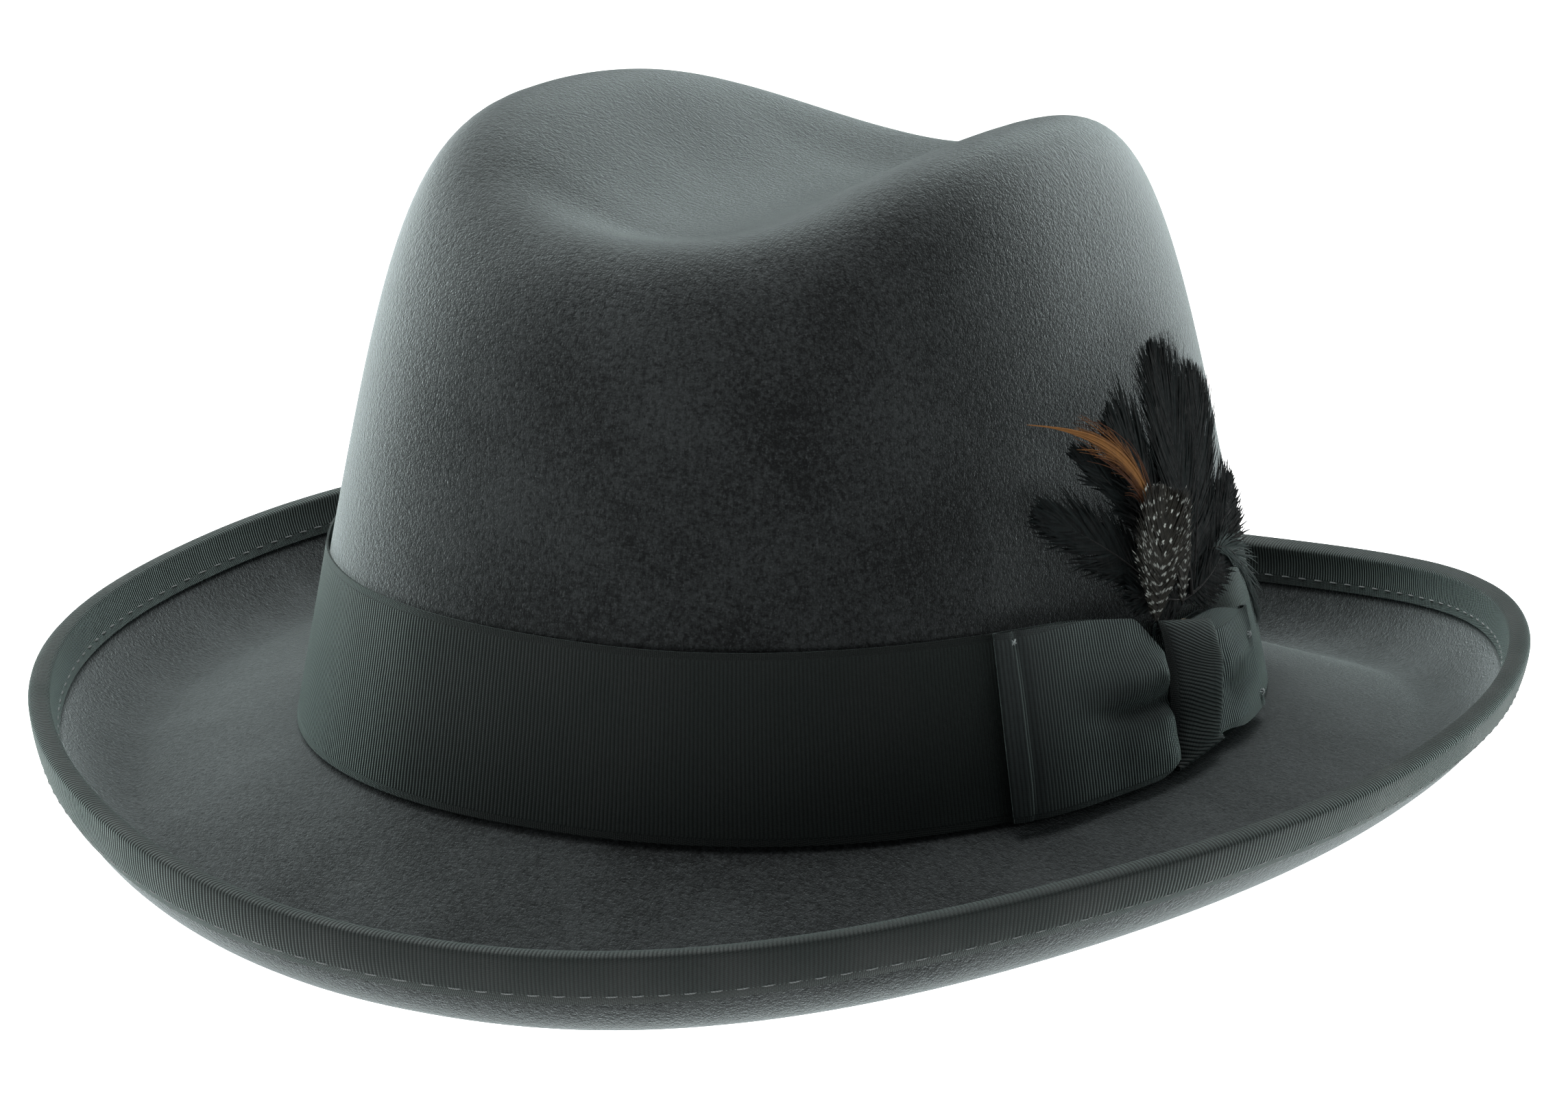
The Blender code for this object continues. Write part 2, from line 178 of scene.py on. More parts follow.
def add_mesh(name, points, faces, surface, body="hat", uv=None, sharp=50, outward=True):
    """A piece from points in millimetres. uv holds one pair for each corner of each face."""
    mesh = bpy.data.meshes.new(name)
    points = (np.asarray(points).reshape(-1, 3) - ORIGIN) * MM
    mesh.from_pydata(points.tolist(), [], [list(map(int, f)) for f in faces])
    if uv is not None:
        layer = mesh.uv_layers.new(name="UVMap")
        layer.data.foreach_set("uv", np.concatenate(uv).astype(np.float32).ravel())
    if outward:
        shape = bmesh.new()
        shape.from_mesh(mesh)
        bmesh.ops.recalc_face_normals(shape, faces=shape.faces)
        shape.to_mesh(mesh)
        shape.free()
    mesh.polygons.foreach_set("use_smooth", np.ones(len(mesh.polygons), bool))
    mesh.set_sharp_from_angle(angle=math.radians(sharp))
    mesh.materials.append(surface)
    made = bpy.data.objects.new(name, mesh)
    bpy.context.scene.collection.objects.link(made)
    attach(made, body)
    return made


def skin(name, outer, inner, surface, u, v, wrap=False, cap=False, body="hat"):
    """A closed piece between two grids of points. wrap joins its columns into a ring, cap closes row 0."""
    rows, columns = outer.shape[:2]
    count = rows * columns
    last = columns if wrap else columns - 1
    points = [outer.reshape(-1, 3), inner.reshape(-1, 3)]
    index = np.arange(count).reshape(rows, columns)
    index = np.concatenate([index, index[:, :1]], 1) if wrap else index
    place = np.stack(np.broadcast_arrays(u, v, np.zeros(index.shape))[:2], -1)
    near, far, left, right = slice(None, -1), slice(1, None), slice(None, last), slice(1, last + 1)
    corners = ((near, left), (near, right), (far, right), (far, left))
    top = np.stack([index[k] for k in corners], -1).reshape(-1, 4)
    spot = np.stack([place[k] for k in corners], -2).reshape(-1, 4, 2)
    faces, uv = [top, top[:, ::-1] + count], [spot, spot[:, ::-1]]
    edges = [(index[-1, :last], index[-1, 1:last + 1], place[-1, :last], place[-1, 1:last + 1])]
    if not cap:
        edges.append((index[0, 1:last + 1], index[0, :last], place[0, 1:last + 1], place[0, :last]))
    if not wrap:
        edges.append((index[:-1, 0], index[1:, 0], place[:-1, 0], place[1:, 0]))
        edges.append((index[1:, -1], index[:-1, -1], place[1:, -1], place[:-1, -1]))
    for p, q, at, to in edges:
        faces.append(np.stack([p, q, q + count, p + count], -1))
        uv.append(np.stack([at, to, to, at], -2))
    faces = list(np.concatenate(faces))
    uv = [np.concatenate(uv).reshape(-1, 2)]
    if cap:
        points += [outer[0].mean(0)[None], inner[0].mean(0)[None]]
        for k, (ring, flip) in enumerate(((index[0], 1), (index[0] + count, -1))):
            for j in range(last):
                faces.append([2 * count + k, *ring[j:j + 2][::flip]])
                uv.append(place[[0, 0, 0], [0, j, j + 1]])
    return add_mesh(name, np.concatenate(points), faces, surface, body, uv)


def grid_normals(grid, wrap=False):
    if wrap:
        along = np.roll(grid, -1, 1) - np.roll(grid, 1, 1)
    else:
        along = np.gradient(grid, axis=1)
    return unit(np.cross(along, np.gradient(grid, axis=0)))


def ribbon_piece(name, grid, thick, surface, u, v):
    """A ribbon of a given thickness with its middle on a grid of points."""
    normal = grid_normals(grid)
    return skin(name, grid + normal * thick / 2, grid - normal * thick / 2, surface, u, v)


def tubes(name, lines, radii, surface, sides=6, body="hat", flat=1.0, facing=None, uv=None, closed=False):
    """Strands along lines, an array of (strands, points, 3). flat scales them along facing."""
    lines = np.asarray(lines, float)
    count, steps = lines.shape[:2]
    radii = np.broadcast_to(radii, (count, steps))
    if closed:
        way = unit(np.roll(lines, -1, 1) - np.roll(lines, 1, 1))
    else:
        way = unit(np.gradient(lines, axis=1))
    if facing is None:
        facing = np.where(np.abs(way[..., 2:]) > 0.9, [1.0, 0, 0], [0, 0, 1.0])
    side = unit(np.cross(facing, way))
    top = np.cross(way, side)
    angle = np.arange(sides) * FULL_TURN / sides + math.pi / 2
    ring = np.cos(angle)[:, None] * side[:, :, None] + flat * np.sin(angle)[:, None] * top[:, :, None]
    points = lines[:, :, None] + ring * radii[..., None, None]
    index = np.arange(count * steps * sides).reshape(count, steps, sides)
    ahead, turned = np.roll(index, -1, 1), np.roll(index, -1, 2)
    both = np.roll(ahead, -1, 2)
    keep = slice(None) if closed else slice(None, -1)
    quads = np.stack([index, turned, both, ahead], -1)[:, keep].reshape(-1, 4)
    faces = list(quads)
    corners = None
    if uv is not None:
        place = np.broadcast_to(np.asarray(uv)[:, :, None], (count, steps, sides, 2))
        forward = np.roll(place, -1, 1)
        corners = [np.stack([place, place, forward, forward], -2)[:, keep].reshape(-1, 2)]
    if not closed:
        faces += list(index[:, 0, ::-1]) + list(index[:, -1])
        if uv is not None:
            corners += [place[:, 0].reshape(-1, 2), place[:, -1].reshape(-1, 2)]
    return add_mesh(name, points, faces, surface, body, corners, sharp=70, outward=False)


def stitch_lines(starts, ends, up, height, steps=7, dip=0.12):
    """Threads between two rows of points that dip into the cloth at both ends."""
    along = np.linspace(0, 1, steps)[None, :, None]
    lines = starts[:, None] * (1 - along) + ends[:, None] * along
    arch = height * (1 - (2 * along - 1) ** 4) - dip
    return lines + up[:, None] * arch


# ---------------------------------------------------------------- materials

class Maker:
    """A material made of nodes, with short calls for the ones that the hat uses."""

    def __init__(self, name, roughness=0.8, **sockets):
        self.made = bpy.data.materials.new(name)
        self.made.use_nodes = True
        self.tree = self.made.node_tree
        self.shader = self.tree.nodes["Principled BSDF"]
        self.shader.inputs["Roughness"].default_value = roughness
        for key, value in sockets.items():
            self.shader.inputs[key.replace("_", " ")].default_value = value

    def put(self, socket, value):
        if isinstance(value, bpy.types.NodeSocket):
            self.tree.links.new(value, socket)
        else:
            socket.default_value = value

    def node(self, kind, output=0, inputs=(), **settings):
        made = self.tree.nodes.new(kind)
        for key, value in settings.items():
            setattr(made, key, value)
        for key, value in dict(inputs).items():
            self.put(made.inputs[key], value)
        return made.outputs[output]

    def place(self, source="Object", scale=(1, 1, 1), turn=(0, 0, 0)):
        coordinates = self.node("ShaderNodeTexCoord", source)
        return self.node("ShaderNodeMapping", 0, {"Vector": coordinates, "Scale": scale, "Rotation": turn})

    def noise(self, vector, scale, detail=2.0, rough=0.5):
        inputs = {"Vector": vector, "Scale": scale, "Detail": detail, "Roughness": rough}
        return self.node("ShaderNodeTexNoise", 0, inputs)

    def bands(self, scale, distortion, turn):
        inputs = {"Vector": self.place(turn=turn), "Scale": scale, "Distortion": distortion}
        return self.node("ShaderNodeTexWave", 1, inputs)

    def math(self, operation, a, b=0.0, c=0.0):
        return self.node("ShaderNodeMath", 0, {0: a, 1: b, 2: c}, operation=operation)

    def total(self, *parts):
        """The sum of pairs of a value and its weight."""
        whole = 0.0
        for value, weight in parts:
            whole = self.math("MULTIPLY_ADD", value, weight, whole)
        return whole

    def sine(self, value, pitch):
        return self.math("SINE", self.math("MULTIPLY", value, FULL_TURN / pitch))

    def positive(self, wave):
        """A wave between -1 and 1 brought to 0 to 1."""
        return self.math("MULTIPLY_ADD", wave, 0.5, 0.5)

    def span(self, value, low, high, to_low=0.0, to_high=1.0):
        return self.node("ShaderNodeMapRange", 0, {0: value, 1: low, 2: high, 3: to_low, 4: to_high})

    def mix(self, share, a, b):
        colour = [(*c, 1) if isinstance(c, tuple) and len(c) == 3 else c for c in (a, b)]
        return self.node("ShaderNodeMix", 2, {0: share, 6: colour[0], 7: colour[1]}, data_type="RGBA")

    def axes(self, vector):
        parts = self.tree.nodes.new("ShaderNodeSeparateXYZ")
        self.put(parts.inputs[0], vector)
        return parts.outputs

    def bump(self, height, depth, strength=1.0):
        """Raises the surface by height, 0 to 1, times a depth in millimetres."""
        inputs = {"Height": height, "Distance": depth * MM, "Strength": strength}
        return self.node("ShaderNodeBump", 0, inputs)

    def finish(self, colour, normal=None, roughness=None):
        self.put(self.shader.inputs["Base Color"], colour)
        if normal is not None:
            self.put(self.shader.inputs["Normal"], normal)
        if roughness is not None:
            self.put(self.shader.inputs["Roughness"], roughness)
        return self.made


def felt_material():
    """Fur felt: fine crossed hairs, a soft mottle and a pale nap at the edges."""
    m = Maker("felt", 0.95, Specular_IOR_Level=0.10, Sheen_Weight=0.72, Sheen_Roughness=0.36,
              Sheen_Tint=(0.82, 0.93, 0.93, 1))
    here = m.place()
    hairs = [m.noise(m.place(scale=size, turn=turn), 3000, 2, 0.6) for size, turn in (
        ((1, 1, 0.3), (0.5, 0.3, 0.7)), ((0.3, 1, 1), (-0.4, 0.6, -0.2)), ((1, 0.3, 1), (0.2, -0.5, 0.4)))]
    fleck = m.total(*[(hair, 1 / 3) for hair in hairs])
    grain, cloud = m.noise(here, 1050, 3, 0.6), m.noise(here, 45, 3, 0.5)
    tone = m.total((grain, 0.35), (fleck, 0.45), (cloud, 0.2))
    colour = m.mix(m.span(tone, 0.43, 0.57), (0.0040, 0.0045, 0.0046), (0.0215, 0.0240, 0.0246))
    colour = m.mix(m.span(fleck, 0.56, 0.66, 0, 0.55), colour, (0.046, 0.050, 0.051))
    return m.finish(colour, m.bump(m.total((grain, 0.36), (fleck, 0.64)), 0.66))


def ribbon_material(name, half_width, pitch=0.78, slant=0.0,
                    dark=(0.0023, 0.0036, 0.0033), light=(0.0088, 0.0132, 0.0122)):
    """Grosgrain: round ribs across the ribbon, crossed by fine threads, with a plain woven edge."""
    m = Maker(name, 0.72, Specular_IOR_Level=0.18, Sheen_Weight=0.36, Sheen_Roughness=0.30,
              Sheen_Tint=(0.68, 0.9, 0.85, 1))
    along, across, _ = m.axes(m.place("UV"))
    wander = m.math("SUBTRACT", m.noise(m.place(), 120, 2), 0.5)
    along = m.total((along, 1), (wander, 0.35), (across, slant))
    rib = m.math("POWER", m.positive(m.sine(along, pitch)), 0.7)
    thread_pitch = 0.34
    twill = m.total((across, FULL_TURN / thread_pitch), (along, math.pi / pitch))
    thread = m.positive(m.math("SINE", twill))
    edge = m.span(m.math("ABSOLUTE", across), half_width - 1.5, half_width - 1.2)
    ribbed = m.total((rib, 0.85), (thread, 0.15))
    woven = m.total((m.positive(m.sine(along, pitch / 2)), 0.4), (thread, 0.25))
    height = m.node("ShaderNodeMix", 0, {0: edge, 2: ribbed, 3: woven})
    worn = m.noise(m.place(), 60, 3)
    # The colour follows the rib height. It is darker in the grooves and lighter on the ribs (painted shade
    # and highlight), and the worn noise adds a random tone.
    tone = m.total((height, 0.8), (m.math("SUBTRACT", worn, 0.5), 0.5))
    colour = m.mix(m.span(tone, 0.05, 0.9), dark, light)
    return m.finish(colour, m.bump(height, 0.22, 0.9), m.span(worn, 0.3, 0.7, 0.62, 0.8))


def thread_material(name, colour=(0.024, 0.031, 0.031)):
    m = Maker(name, 0.6, Sheen_Weight=0.3)
    twist = m.bands(900.0, 1.0, (0.4, 0.5, 0.6))
    # The raised crests of the twist are paler: painted highlight.
    pale = tuple(1.7 * c for c in colour)
    return m.finish(m.mix(twist, colour, pale), m.bump(twist, 0.06))


def barb_material(name, dark, light, roughness=0.65, sheen=0.0, tint=(0.5, 0.8, 0.75, 1)):
    """Barbs: the first UV axis is a shade for each barb."""
    m = Maker(name, roughness, Sheen_Weight=sheen, Sheen_Roughness=0.35, Sheen_Tint=tint,
              Specular_IOR_Level=0.06)
    shade = m.axes(m.place("UV"))[0]
    fine = m.noise(m.place(), 700, 3)
    colour = m.mix(m.span(m.total((shade, 0.6), (fine, 0.4)), 0.2, 0.8), dark, light)
    streak = m.noise(m.place(scale=(1, 1, 0.1)), 1800, 2)
    return m.finish(colour, m.bump(streak, 0.08),
                    m.span(fine, 0.3, 0.7, roughness - 0.1, roughness + 0.15))


def guinea_material():
    """Pale dots and streaks on a dark vane. UV, in mm: out along each barb, and up the quill."""
    m = Maker("guinea_barbs", 0.6, Specular_IOR_Level=0.1)
    out, up, _ = m.axes(m.place("UV"))
    fine = m.noise(m.place(), 900, 2)
    across_pitch, up_pitch, dot, soft, streak_pitch = 3.3, 2.7, 0.175, 0.08, 1.5
    spot = {0: m.math("DIVIDE", out, across_pitch), 1: m.math("DIVIDE", up, up_pitch)}
    spot = m.node("ShaderNodeCombineXYZ", 0, spot)
    near = m.node("ShaderNodeTexVoronoi", 0, {"Vector": spot, "Scale": 1.0, "Randomness": 0.40},
                  voronoi_dimensions="2D")
    dots = m.span(near, dot, dot - soft)
    chevron = m.total((m.math("ABSOLUTE", out), 0.32), (up, 1), (fine, 0.5))
    broken = m.span(m.noise(m.place("UV", scale=(0.35, 1, 1)), 1.1, 2), 0.40, 0.52)
    streaks = m.math("MULTIPLY", m.span(m.sine(chevron, streak_pitch), 0.62, 0.95), broken)
    streaks = m.math("MULTIPLY", streaks, 0.6)
    share = m.node("ShaderNodeMix", 0, {0: m.span(up, 9.0, 10.5), 2: streaks, 3: dots})
    vane_colour = m.mix(m.span(fine, 0.3, 0.7), (0.006, 0.006, 0.0045), (0.019, 0.018, 0.014))
    return m.finish(m.mix(share, vane_colour, (0.42, 0.45, 0.42)),
                    m.bump(m.noise(m.place(), 2200, 1), 0.06))


def leather_material():
    m = Maker("sweatband_leather", 0.42, Specular_IOR_Level=0.5, Coat_Weight=0.08)
    here = m.place()
    cells = m.node("ShaderNodeTexVoronoi", 0, {"Vector": here, "Scale": 1300.0}, feature="SMOOTH_F1")
    tone = m.noise(here, 55, 4)
    colour = m.mix(m.span(tone, 0.3, 0.7), (0.050, 0.022, 0.011), (0.105, 0.050, 0.026))
    height = m.total((cells, 0.7), (m.noise(here, 350, 3), 0.5))
    return m.finish(colour, m.bump(height, 0.12), m.span(tone, 0.3, 0.7, 0.36, 0.52))


def satin_material():
    m = Maker("lining_satin", 0.30, Sheen_Weight=0.3, Anisotropic=0.5, Specular_IOR_Level=0.6)
    weave = m.bands(700.0, 0.5, (0.3, 0.2, 0.7))
    tone = m.total((weave, 0.35), (m.noise(m.place(), 40, 3), 0.65))
    colour = m.mix(m.span(tone, 0.25, 0.75), (0.10, 0.105, 0.115), (0.17, 0.18, 0.19))
    return m.finish(colour, m.bump(weave, 0.03))


def paper_material():
    m = Maker("tab_card", 0.8)
    fibre = m.noise(m.place(scale=(1, 1, 3)), 1500, 3)
    colour = m.mix(m.span(fibre, 0.3, 0.7), (0.60, 0.58, 0.52), (0.74, 0.72, 0.66))
    return m.finish(colour, m.bump(fibre, 0.04))


def quill_material():
    m = Maker("quill_horn", 0.35, Subsurface_Weight=0.1)
    tone = m.noise(m.place(scale=(1, 1, 0.2)), 600, 3)
    colour = m.mix(m.span(tone, 0.3, 0.7), (0.24, 0.18, 0.11), (0.42, 0.36, 0.26))
    return m.finish(colour, m.bump(tone, 0.05))


# ---------------------------------------------------------------- felt and binding

def felt_rings(t):
    """The felt's upper surface as rings, from the top of the crown to the brim's edge."""
    reach = np.linspace(0, 1, 4001)
    rise = (1 - reach**SHOULDER_POWER) ** (1 / SHOULDER_POWER)
    mean_top_radius = 70
    run = run_along(np.stack([reach * mean_top_radius, rise * CROWN_RISE], -1))
    rings = [crown(t, r) for r in np.interp(np.linspace(2.0, run[-1] - 3.0, 78), run, rise)]
    low, corner, side = wall(t, 1.2, 0.0), wall(t, 0.0, 0.0), brim(t, 0.05)
    rings = [ring for ring in rings if (ring[:, 2] - foot_height(t)).min() > 1.8] + [low]
    rings += [low * (1 - a) ** 2 + 2 * a * (1 - a) * corner + side * a * a for a in (0.25, 0.5, 0.75)]
    return rings + [brim(t, part) for part in np.linspace(0.05, 1.0, 46)]


def felt_body(felt):
    t = stations(256)
    outer = np.array(felt_rings(t))
    inner = outer + grid_normals(outer, True) * FELT
    made = skin("hat_felt", outer, inner, felt, 0.0, 0.0, wrap=True, cap=True)
    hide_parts("felt_body")


def brim_binding(ribbon, thread):
    t = stations(720)
    edge = 1 - BINDING_WIDTH / BRIM_WIDTH[0]
    gap, half_ribbon = 0.75, 0.2
    parts = np.linspace(edge, 1.0, 11)
    lift = 0.42 + 0.33 * smooth((parts - edge) * BRIM_WIDTH[0] / 1.6)
    tip = unit(brim(t, 1.0) - brim(t, 0.99))
    up = unit(brim(t, 1.0, 1.0) - brim(t, 1.0))
    middle = brim(t, 1.0, -FELT / 2)

    def section(extra):
        rows = [brim(t, p, a + extra) for p, a in zip(parts, lift)]
        for angle in np.radians([22, 45, 67, 90, 113, 135, 158]):
            rise = up * (FELT / 2 + gap + extra) * math.cos(angle)
            rows.append(middle + rise + tip * (gap + extra) * math.sin(angle))
        return np.array(rows + [brim(t, p, -FELT - a - extra) for p, a in zip(parts[::-1], lift[::-1])])

    outer, inner = section(half_ribbon), section(-half_ribbon)
    fold_row = 14
    run = run_along(shut(outer[fold_row]))
    across = run_along(outer[:, 0])
    place = (across - across[-1] / 2)[:, None]
    made = skin("binding_ribbon", outer, inner, ribbon, run[None], place, wrap=True)
    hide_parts("brim_binding")
    for name, node, above, sign in (
        ("binding_stitches_top", "binding_stitch_upper", 0.72, 1),
        ("binding_stitches_under", "binding_stitch_lower", -FELT - 0.72, -1),
    ):
        number, half_stitch, part = 196, 0.31, edge + 0.026
        turn = np.arange(number) * FULL_TURN / number
        spread = FULL_TURN / number * half_stitch
        starts, ends = brim(turn - spread, part, above), brim(turn + spread, part + 0.002, above)
        normal = sign * unit(brim(turn, part, above + 1) - brim(turn, part, above))
        lines = stitch_lines(starts, ends, normal, 0.30)
        sizes = 0.19 * np.array([0.6, 0.95, 1, 1, 1, 0.95, 0.6])
        stitched = tubes(name, lines, sizes, thread, sides=6)
        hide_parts(node)


# ---------------------------------------------------------------- band and bow

def hatband(ribbon):
    t = stations(560)
    heights = np.linspace(3, BAND_HIGH - 1.2, 20)
    heights = np.concatenate([[BAND_LOW - 0.6, BAND_LOW], heights, [BAND_HIGH - 0.5, BAND_HIGH]])
    ripple = 0.05 * np.sin(9 * t) + 0.04 * np.sin(23 * t + 1)
    flare = 0.10 + 0.10 * np.sin(5 * t + 0.6) + 0.06 * np.sin(13 * t)
    out = [0.72 + ripple * smooth(h / 10) + flare * smooth((h - 26) / 10) for h in heights]
    reach = (np.mod(t - KNOT_ANGLE + math.pi, FULL_TURN) - math.pi) * WALL_RADIUS
    wave = 0.10 * np.sin(7 * t + 2) - BAND_PINCH[0] * np.exp(-(reach / BAND_PINCH[1]) ** 2)
    tall = [h + wave * max(h - BAND_LOW, 0) / (BAND_HIGH - BAND_LOW) for h in heights]
    outer, inner = (np.array([wall(t, h, o + half) for h, o in zip(tall, out)]) for half in (0.2, -0.2))
    run = run_along(shut(outer[MIDDLE_ROW]))
    made = skin("band_ribbon", outer, inner, ribbon, run[None], (heights - 18.5)[:, None], wrap=True)
    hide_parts("hatband")


def loop_run(fold, inner_out, outer_out, count):
    """A ribbon loop: out along the band, round a fold at its end, and back on top.

    It gives the distance from the knot, the distance from the felt, and 0 below to 1 on top."""
    radius = 1.3
    away = np.linspace(1.5, fold - radius, count)
    turn = np.radians(np.linspace(-75, 75, 9))
    low, high = inner_out(away[-1]), outer_out(away[-1])
    middle, size = (low + high) / 2, (high - low) / 2
    across = np.concatenate([away, fold - radius + radius * np.cos(turn), away[::-1]])
    out = np.concatenate([inner_out(away), middle + size * np.sin(turn), outer_out(away[::-1])])
    top = np.concatenate([np.zeros(count), 0.5 + 0.5 * np.sin(turn), np.ones(count)])
    return across, out, top


def front_wing(ribbon):
    def inner_out(s):
        return 1.35 + 2.1 * smooth((s - 30) / 24)

    def outer_out(s):
        swell = 1.15 * smooth((s - 8) / 10) + 1.0 * smooth((s - 30) / 22)
        return 3.55 + swell - 0.5 * smooth((s - 54) / 4)

    across, out, top = loop_run(58.2, inner_out, outer_out, 90)
    share = np.linspace(0, 1, 41)[:, None]
    low = 1.2 + 2.4 * smooth((22 - across) / 14)
    high = 36.2 - 7.2 * np.exp(-(across / 30) ** 2) - 7.4 * smooth((22 - across) / 11)
    height = low + (high - low) * share
    crease = 14.2 + 0.05 * across
    valley = np.exp(-((height - crease) / 1.7) ** 2) * smooth((44 - across) / 26)
    full = np.exp(-((height - crease - 6.0) / 4.2) ** 2) * smooth((46 - across) / 28)
    under = np.exp(-((height - crease + 6.5) / 4.5) ** 2) * smooth((40 - across) / 26)
    pinch = smooth((across - 9.5) / 7)
    lift = top * pinch * (2.1 * full + 0.8 * under - 1.5 * valley)
    hem = 53.6 + 0.8 * np.abs(2 * share - 1) ** 3
    lift = lift - top * 0.50 * np.exp(-((across - hem) / 0.95) ** 2)
    lift = lift + top * 0.12 * np.exp(-((across - hem - 1.9) / 1.0) ** 2)
    gather = top * 0.28 * np.sin(share * 19) * smooth((26 - across) / 14) * pinch
    curl = 0.35 * top * (2 * share - 1) ** 8 * smooth((across - 14) / 20)
    grid = on_wall(np.broadcast_to(across, height.shape), height, out + lift + gather - curl)
    run = run_along(np.stack([across, out], -1))
    made = ribbon_piece("wing_front", grid, BOW_RIBBON, ribbon, run[None], height - 18.4)
    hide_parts("bow_front_wing")


def rear_wing(ribbon):
    def inner_out(s):
        return 1.35 + 0.2 * smooth((s - 15) / 12)

    def outer_out(s):
        return 3.5 + 0.5 * smooth((s - 8) / 8) - 0.7 * smooth((s - 18) / 15)

    across, out, top = loop_run(33.5, inner_out, outer_out, 26)
    share = np.linspace(0, 1, 31)[:, None]
    low = 2.3 + 1.0 * smooth((18 - across) / 10)
    high = 21.8 + 4.6 * smooth((33 - across) / 24)
    height = low + (high - low) * share
    pinch = smooth((across - 9.5) / 6)
    folds = np.exp(-((height - 15.5) / 2.4) ** 2) - 0.8 * np.exp(-((height - 10.0) / 1.8) ** 2)
    lift = top * pinch * folds * 0.7 * smooth((34 - across) / 16)
    gather = top * 0.25 * np.sin(share * 17 + 1) * smooth((22 - across) / 12) * pinch
    grid = on_wall(-np.broadcast_to(across, height.shape), height, out + lift + gather)
    run = run_along(np.stack([across, out], -1))
    made = ribbon_piece("wing_rear", grid, BOW_RIBBON, ribbon, run[None], height - 13.0)
    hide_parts("bow_rear_wing")


def knot(ribbon):
    """The ribbon over the bow's middle: its path is (height, out), from the pocket's mouth down."""
    path = np.array([
        (26.8, 2.9), (28.2, 3.0), (29.3, 3.7), (29.8, 4.7), (29.2, 5.5), (27.5, 5.9), (24, 6.0), (19, 5.9),
        (14, 5.9), (9, 5.9), (5, 5.8), (2.6, 5.5), (1.3, 4.8), (0.9, 3.9), (1.3, 3.1), (2.6, 2.9)])
    fine = np.linspace(0, 1, 61)
    run = run_along(path)
    smoothed = np.stack([np.interp(fine * run[-1], run, path[:, k]) for k in (0, 1)], -1)
    for _ in range(3):
        smoothed[1:-1] = (smoothed[:-2] + 2 * smoothed[1:-1] + smoothed[2:]) / 4
    height, out = smoothed[:, :1], smoothed[:, 1:]
    share = np.linspace(-1, 1, 27)[None]
    front = smooth((out - 4.6) / 1.0)
    dome = 0.35 * (1 - share**2) - 0.8 * share**8
    slack = 0.14 * np.sin(height * 0.55 + share * 1.5) * (1 - share**2)
    out = out - front * 1.3 * smooth((22 - height) / 16)
    ahead = 13.0 + 0.8 * smooth((8 - height) / 8)
    behind = 8.2 + 1.7 * np.exp(-((height - 17) / 6) ** 2) - 3.2 * smooth((11 - height) / 10)
    half = (ahead + behind) / 2
    across = (ahead - behind) / 2 + share * half
    tall = height - 2.2 * (1 - share) * smooth((height - 14) / 14)
    tall = tall + 0.7 * (1 - share) * smooth((9 - height) / 8)
    grid = on_wall(across, tall, out + front * (dome + slack))
    run = run_along(smoothed)
    made = ribbon_piece("knot_wrap", grid, BOW_RIBBON, ribbon, run[:, None], share * half)
    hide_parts("bow_knot")


def tacks(thread):
    places = {  # node, then distance from the knot, height and distance from the felt
        "tack_front_upper": ("bow_tack_front_upper", 55.0, 33.9, 5.35),
        "tack_front_lower": ("bow_tack_front_lower", 55.8, 6.6, 5.25),
        "tack_rear_upper": ("bow_tack_rear_upper", -28.5, 17.0, 4.15),
        "tack_rear_lower": ("bow_tack_rear_lower", -30.5, 5.0, 3.95),
    }
    for name, (node, across, up, out) in places.items():
        lines = []
        for angle in (0.3, 1.2, 2.3):
            run = np.linspace(-1, 1, 9)
            lift = 0.35 * (1 - run**2) + 0.08 * angle - 0.25
            turned = across + run * math.cos(angle), up + run * math.sin(angle) * 0.7
            lines.append(on_wall(*turned, out + lift))
        made = tubes(name, lines, 0.17, thread, sides=6)
        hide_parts(node)


# ---------------------------------------------------------------- feathers

def bezier(a, b, c, along):
    a, b, c = (np.asarray(p, float) for p in (a, b, c))
    along = along[..., None]
    return (1 - along) ** 2 * a + 2 * along * (1 - along) * b + along**2 * c


